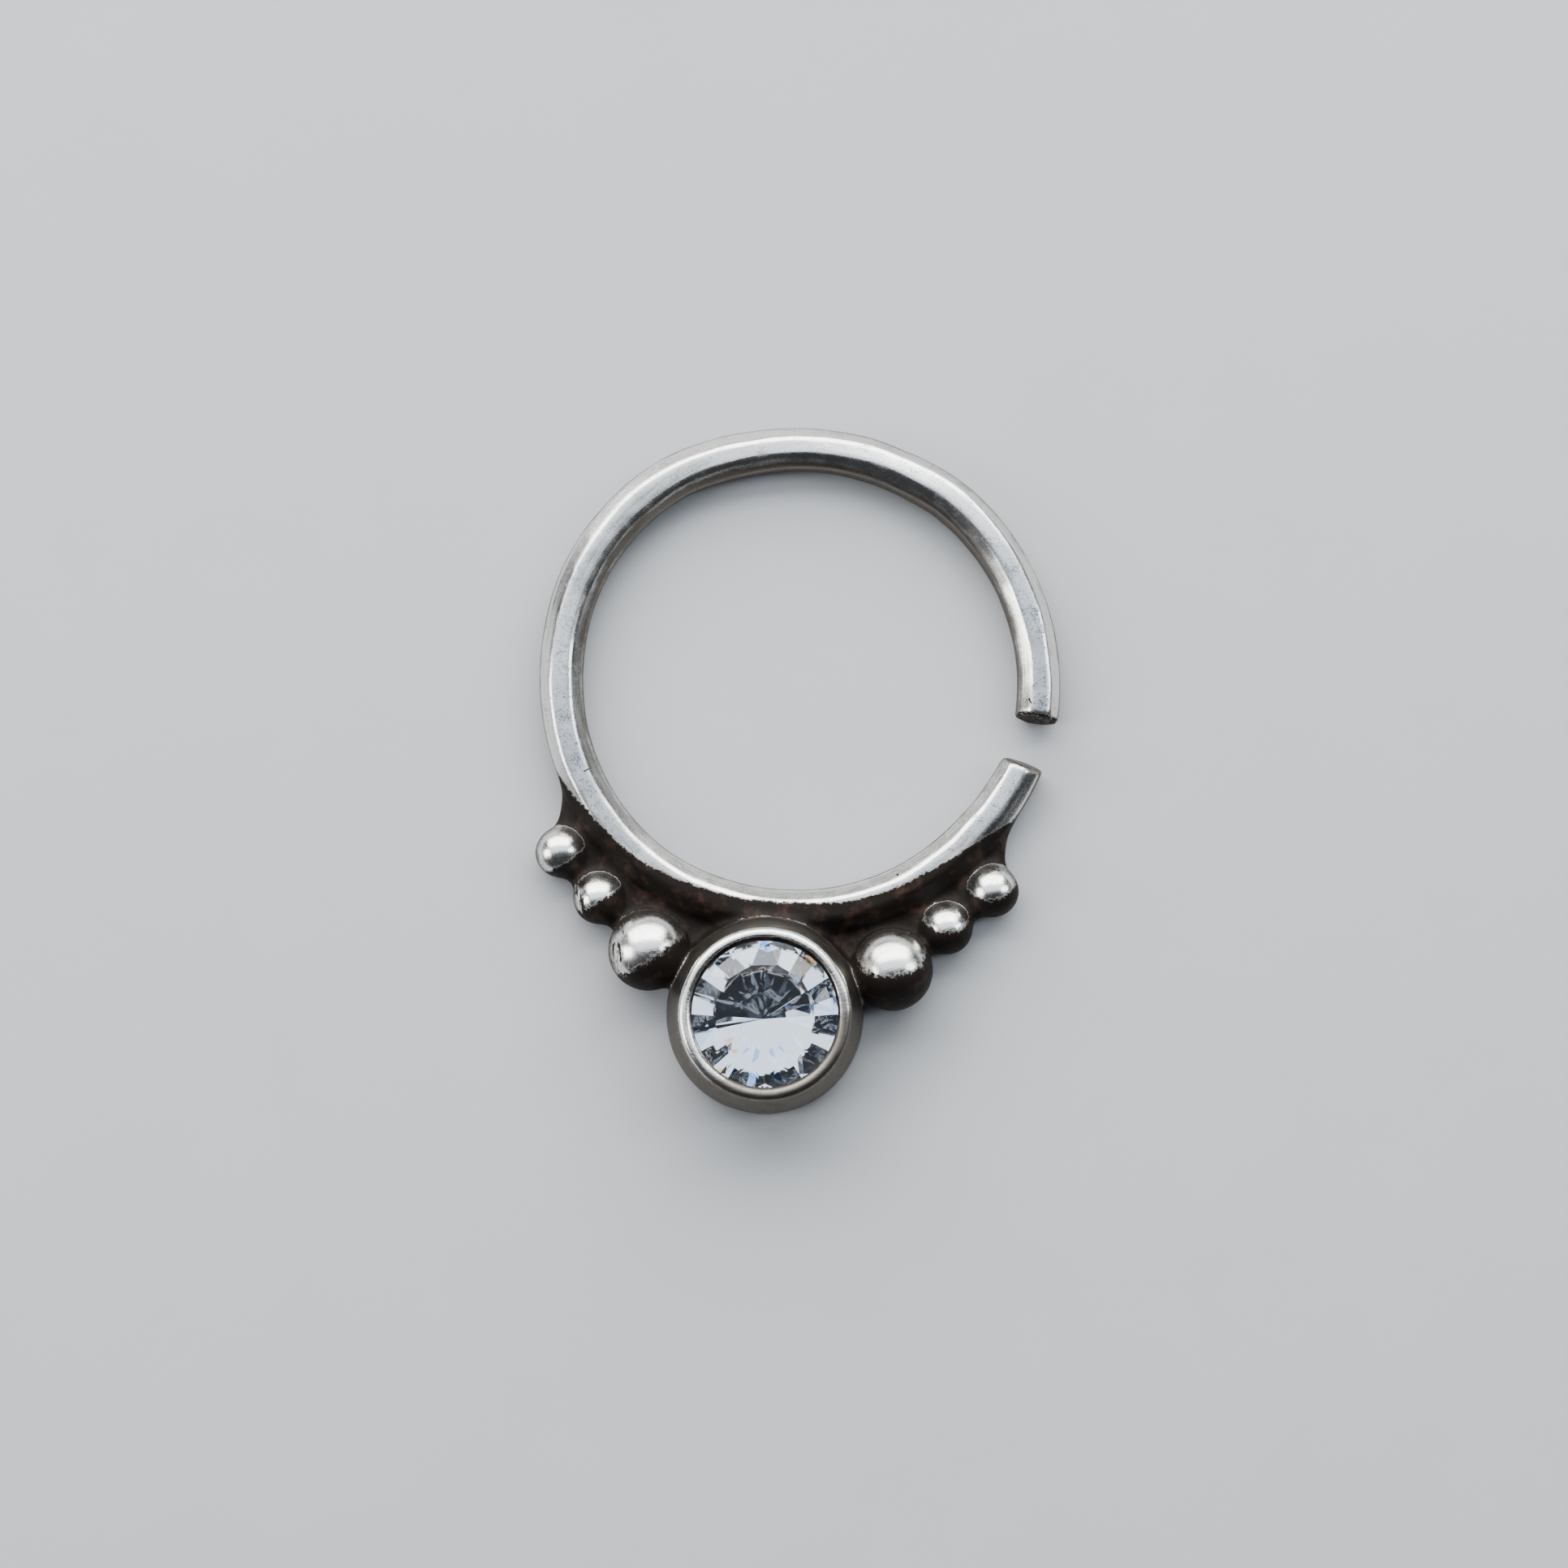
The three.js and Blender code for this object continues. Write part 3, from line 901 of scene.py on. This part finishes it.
def mark(tree, x, y, middle_x, middle_y, along, length, half_width):
    """A short straight mark seen from the front, 1 on it and 0 away from it."""
    run = (x - middle_x) * along[0] + (y - middle_y) * along[1]
    side = (y - middle_y) * along[0] - (x - middle_x) * along[1]
    within = abs(run).rise(length / 2 + half_width, length / 2)
    return within * abs(side).rise(half_width, half_width * 0.3)


def silver_material(finish):
    """Silver with filing marks, specks, a brown film of tarnish and painted shade, and black oxide in
    the recesses that is painted shade on the granules' far sides.
    """
    material, tree, shader = new_material("oxidised_silver")
    place = object_place(tree)
    x, y, z = parts_of(tree, place)
    angle = calculate(tree, "ARCTAN2", y, x)
    reach = (x * x + y * y).math("SQRT")

    filed = noise(tree, stretched(tree, FILED_WAVES, angle, reach, z), 1.0, 3.0, 0.6)
    drawn = noise(tree, stretched(tree, DRAWN_WAVES, x, y, z), 1.0, 2.0, 0.6)
    crumbs = noise(tree, place, *CRUMBS) - 0.5
    patches = noise(tree, place, *PATCHES) - 0.5
    cloud = noise(tree, place, *CLOUD)
    front = stored(tree, "grain")
    flecks = noise(tree, place, *FLECKS) + (cloud - 0.5) * 0.6 + front * 0.06
    flecks = flecks.rise(*FLECK_LEVELS) * (front * 0.4 + 0.5)
    marks = 0.0
    for row in MARKS:
        marks = mark(tree, x, y, *row).most(marks)
    marks = marks * z.rise(*MARKED_FRONT)

    # Black oxide in the recesses, which on the granules' far sides and inside the lip is painted shade.
    edge = stored(tree, "patina_and_shade") + crumbs * 1.15 + patches * 0.45
    edge = edge + stored(tree, "streaks") * (drawn - 0.4) * 3.0 + marks
    black = edge.rise(*BLACK_LEVELS)
    # Brown film: tarnish, with painted shade on the setting's side away from the light, the bore and the
    # flanks.
    film_and_shade = stored(tree, "tarnish_and_shade") + patches * 0.6 + crumbs * 0.4 + (filed - 0.5) * 0.8
    brown = film_and_shade.rise(*BROWN_LEVELS)

    hazed = mix_colour(tree, front * 0.7, finish.silver, finish.haze)
    bright = mix_colour(tree, flecks, hazed, finish.speck)
    film_and_shade_colour = mix_colour(tree, brown * 0.9, bright, finish.tarnish_and_shade)
    reddish = noise(tree, place, *REDDISH).rise(*REDDISH_LEVELS)
    oxide_and_shade_colour = mix_colour(tree, reddish, finish.patina_and_shade, finish.patina_tint)
    feed(tree, shader.inputs["Base Color"], mix_colour(tree, black, film_and_shade_colour, oxide_and_shade_colour))
    feed(tree, shader.inputs["Metallic"], 1.0 - black * 0.85)
    shader.inputs["Specular IOR Level"].default_value = OXIDE_SPECULAR
    shader.inputs["Specular Tint"].default_value = (*finish.edge, 1.0)
    dulled = cloud * 0.14 + 0.14 + brown * 0.16 + flecks * 0.25 + (filed - 0.5) * 0.1 + front * 0.06
    feed(tree, shader.inputs["Roughness"], dulled + black * 0.22)

    grain = noise(tree, place, *GRAIN)
    crust = noise(tree, place, *CRUST)
    height = filed * 0.7 + grain * 0.4 + crust * black * 1.4 - black * 0.3
    inputs = {"Height": height, "Strength": RELIEF_STRENGTH, "Distance": RELIEF_DEPTH * MM}
    bump = add_node(tree, "ShaderNodeBump", inputs)
    feed(tree, shader.inputs["Normal"], Field(tree, bump.outputs[0]))
    return material


def glass_material(finish):
    """Clear cut glass, with painted fire: some facets are tinted blue or amber to stand in for coloured
    flashes of light.
    """
    material, tree, shader = new_material("clear_stone")
    painted_fire = stored(tree, "painted_fire")
    warm = mix_colour(tree, painted_fire.rise(0.0, 1.0), finish.glass, finish.painted_fire_amber)
    tinted = mix_colour(tree, painted_fire.rise(0.0, -1.0), warm, finish.painted_fire_blue)
    feed(tree, shader.inputs["Base Color"], tinted)
    shader.inputs["Roughness"].default_value = 0.0
    shader.inputs["IOR"].default_value = GLASS_IOR
    shader.inputs["Transmission Weight"].default_value = 1.0
    return material


def foil_material(finish):
    """The mirror on the back of the stone, with a faint clouding."""
    material, tree, shader = new_material("stone_foil")
    shader.inputs["Base Color"].default_value = (*finish.foil, 1.0)
    shader.inputs["Metallic"].default_value = 1.0
    clouding = noise(tree, object_place(tree), FOIL_CLOUD_WAVES, 3.0) * 0.04 + 0.01
    feed(tree, shader.inputs["Roughness"], clouding)
    return material


def floor_material(look):
    """Pale matt floor with a very fine grain."""
    material, tree, shader = new_material("pale_floor")
    here = Field(tree, add_node(tree, "ShaderNodeTexCoord").outputs["Object"])
    tone = noise(tree, here, FLOOR_GRAIN_WAVES, 4.0, 0.6)
    darker = [channel * FLOOR_GRAIN_SHADE for channel in look.floor]
    feed(tree, shader.inputs["Base Color"], mix_colour(tree, tone, darker, look.floor))
    shader.inputs["Roughness"].default_value = FLOOR_ROUGHNESS
    return material


class RING_OT_silver(bpy.types.Operator):
    """Build the hoop, solder web, granules and setting as one fused silver form."""

    bl_idname = "ring.silver"
    bl_label = "Soldered silver"

    def execute(self, context):
        settings = context.scene.septum_ring
        sizes = settings.sizes
        piece = new_object("soldered_silver", web_plate(sizes.web_middle))
        modifier = piece.modifiers.new("Silver form", "NODES")
        modifier.node_group = build_silver_tree()
        margin = Vector((MESH_MARGIN * MM,) * 3)
        values = {prop.name: getattr(sizes, prop.identifier) for prop in size_props()}
        values["Hoop centre"] = HOOP_CENTRE
        values["Box low"] = CAD_LOW - margin
        values["Box high"] = CAD_HIGH + margin
        values["Material"] = silver_material(settings.finish)
        give_inputs(modifier, values)
        bake(piece)
        if not piece.data.polygons:
            raise RuntimeError("the silver came out empty")
        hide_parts("silver_ring")
        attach(piece, "root")
        return {"FINISHED"}


def painted_fire_of(facet, girdle_bottom, table_radius):
    """The painted fire of a facet round the table, a tint standing in for a coloured flash of light, by
    the way the facet faces.
    """
    middle = facet.calc_center_median() - STONE_AXIS
    heading = math.degrees(math.atan2(middle.y, middle.x))
    if middle.z < girdle_bottom or middle.xy.length < table_radius / 2:
        return 0.0
    for angle, spread, strength in PAINTED_FIRE:
        if abs((heading - angle + 180.0) % 360.0 - 180.0) < spread:
            return strength
    return 0.0


def facet_stone(sizes):
    """The stone's mesh: a clear table, crown and girdle over a pointed, foiled back."""
    shape = bmesh.new()
    folds = sizes.folds
    fold = 2 * math.pi / folds
    fall = math.tan(sizes.pavilion_angle)
    crown_height = (sizes.radius - sizes.table_radius) * math.tan(sizes.crown_angle)
    girdle_top = sizes.table_height - crown_height
    girdle_bottom = girdle_top - sizes.girdle
    point_height = girdle_bottom - sizes.radius * fall
    break_height = point_height + sizes.break_radius * math.cos(fold / 2) * fall

    def ring(radius, height, count, offset):
        corners = []
        for place in range(count):
            angle = offset + 2 * math.pi * place / count
            spoke = Vector((radius * math.cos(angle), radius * math.sin(angle), height))
            corners.append(shape.verts.new(STONE_AXIS + spoke))
        return corners

    table = ring(sizes.table_radius, sizes.table_height, folds, fold / 2)
    top = ring(sizes.radius, girdle_top, 2 * folds, fold / 2)
    bottom = ring(sizes.radius, girdle_bottom, 2 * folds, fold / 2)
    breaks = ring(sizes.break_radius, break_height, folds, fold)
    drift = Vector((*STONE_POINT_DRIFT, 0.0)) * MM
    point = shape.verts.new(STONE_AXIS + drift + Vector((0.0, 0.0, point_height)))
    facets = [(table, CLEAR)]
    for k in range(folds):
        here = 2 * k
        past = (2 * k + 2) % (2 * folds)
        turn = (k + 1) % folds
        facets.append(([table[k], top[here], top[here + 1]], CLEAR))
        facets.append(([table[k], top[here + 1], table[turn]], CLEAR))
        facets.append(([table[turn], top[here + 1], top[past]], CLEAR))
        facets.append(([top[here], bottom[here], bottom[here + 1], top[here + 1]], CLEAR))
        facets.append(([top[here + 1], bottom[here + 1], bottom[past], top[past]], CLEAR))
        facets.append(([point, breaks[k], bottom[here], breaks[k - 1]], FOILED))
        facets.append(([breaks[k], bottom[here + 1], bottom[here]], FOILED))
        facets.append(([breaks[k], bottom[past], bottom[here + 1]], FOILED))
    # Painted fire: some facets get a tint that stands in for a coloured flash of light.
    painted_fire = shape.faces.layers.float.new("painted_fire")
    for corners, coat in facets:
        facet = shape.faces.new(corners)
        facet.material_index = coat
        facet[painted_fire] = painted_fire_of(facet, girdle_bottom, sizes.table_radius)
    bmesh.ops.recalc_face_normals(shape, faces=shape.faces)
    mesh = bpy.data.meshes.new("cut_stone")
    shape.to_mesh(mesh)
    shape.free()
    return mesh


class RING_OT_stone(bpy.types.Operator):
    """Build the stone from its facets, clear in front and foiled behind."""

    bl_idname = "ring.stone"
    bl_label = "Cut stone"

    def execute(self, context):
        settings = context.scene.septum_ring
        mesh = facet_stone(settings.stone)
        mesh.materials.append(glass_material(settings.finish))
        mesh.materials.append(foil_material(settings.finish))
        piece = new_object("cut_stone", mesh)
        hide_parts("stone")
        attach(piece, "root")
        return {"FINISHED"}


def add_panel_light(name, place, target, width, height, power, tint):
    """A soft panel of light, facing a point."""
    light = bpy.data.lights.new(name, "AREA")
    light.shape = "RECTANGLE"
    light.size = width
    light.size_y = height
    light.energy = power
    light.color = tint
    panel = bpy.data.objects.new(name, light)
    panel.location = place
    panel.rotation_euler = (target - place).to_track_quat("-Z", "Y").to_euler()
    bpy.context.scene.collection.objects.link(panel)


class RING_OT_stage(bpy.types.Operator):
    """Build the floor, the lights, the room and the camera."""

    bl_idname = "ring.stage"
    bl_label = "Stage"

    def execute(self, context):
        scene = context.scene
        look = scene.septum_ring.stage
        reach = FLOOR_REACH * MM
        level = CAD_LOW.z - FLOOR_DROP * MM
        mesh = bpy.data.meshes.new("floor")
        square = ((-1, -1), (1, -1), (1, 1), (-1, 1))
        corners = [(x * reach, y * reach, level) for x, y in square]
        mesh.from_pydata(corners, [], [range(len(corners))])
        mesh.materials.append(floor_material(look))
        floor = new_object("floor", mesh)

        middle = HOOP_CENTRE + PICTURE_MIDDLE * MM
        for name, place, width, height, setting, share, tint in PANELS:
            stand = middle + Vector(place) * MM
            power = getattr(look, setting) * share
            add_panel_light(name, stand, middle, width * MM, height * MM, power, tint)

        world = bpy.data.worlds.new("room")
        world.use_nodes = True
        background = world.node_tree.nodes["Background"]
        background.inputs["Color"].default_value = (*look.surround, 1.0)
        background.inputs["Strength"].default_value = look.surround_strength
        scene.world = world
        scene.cycles.glossy_bounces = LIGHT_BOUNCES

        camera = bpy.data.objects.new("camera", bpy.data.cameras.new("camera"))
        camera.data.lens = look.lens
        camera.data.sensor_width = SENSOR_WIDTH
        camera.data.clip_start = CLIP_START * MM
        above = Vector((0.0, 0.0, look.camera_distance))
        camera.location = HOOP_CENTRE + CAMERA_FOOT * MM + above
        back = (camera.location - middle).normalized()
        right = Vector((0.0, 1.0, 0.0)).cross(back).normalized()
        camera.rotation_euler = Matrix((right, back.cross(right), back)).transposed().to_euler()
        scene.collection.objects.link(camera)
        scene.camera = camera
        return {"FINISHED"}


class RING_PT_sidebar(bpy.types.Panel):
    """The ring's sizes, finish, stage and build steps."""

    bl_idname = "RING_PT_sidebar"
    bl_label = "Septum ring"
    bl_space_type = "VIEW_3D"
    bl_region_type = "UI"
    bl_category = "Septum ring"

    def draw(self, context):
        settings = context.scene.septum_ring
        for group in (settings.sizes, settings.stone, settings.finish, settings.stage):
            column = self.layout.box().column()
            for prop in group.bl_rna.properties:
                if prop.type in {"FLOAT", "INT"}:
                    column.prop(group, prop.identifier)
        for step in (RING_OT_silver, RING_OT_stone, RING_OT_stage):
            self.layout.operator(step.bl_idname)


CLASSES = (
    SilverSizes,
    StoneSizes,
    RingFinish,
    StageLook,
    RingSettings,
    RING_OT_silver,
    RING_OT_stone,
    RING_OT_stage,
    RING_PT_sidebar,
)


def register():
    for cls in CLASSES:
        bpy.utils.register_class(cls)
    bpy.types.Scene.septum_ring = bpy.props.PointerProperty(type=RingSettings)


def unregister():
    del bpy.types.Scene.septum_ring
    for cls in reversed(CLASSES):
        bpy.utils.unregister_class(cls)


def main():
    register()
    bpy.ops.ring.silver()
    bpy.ops.ring.stone()
    bpy.ops.ring.stage()


if __name__ == "__main__":
    main()
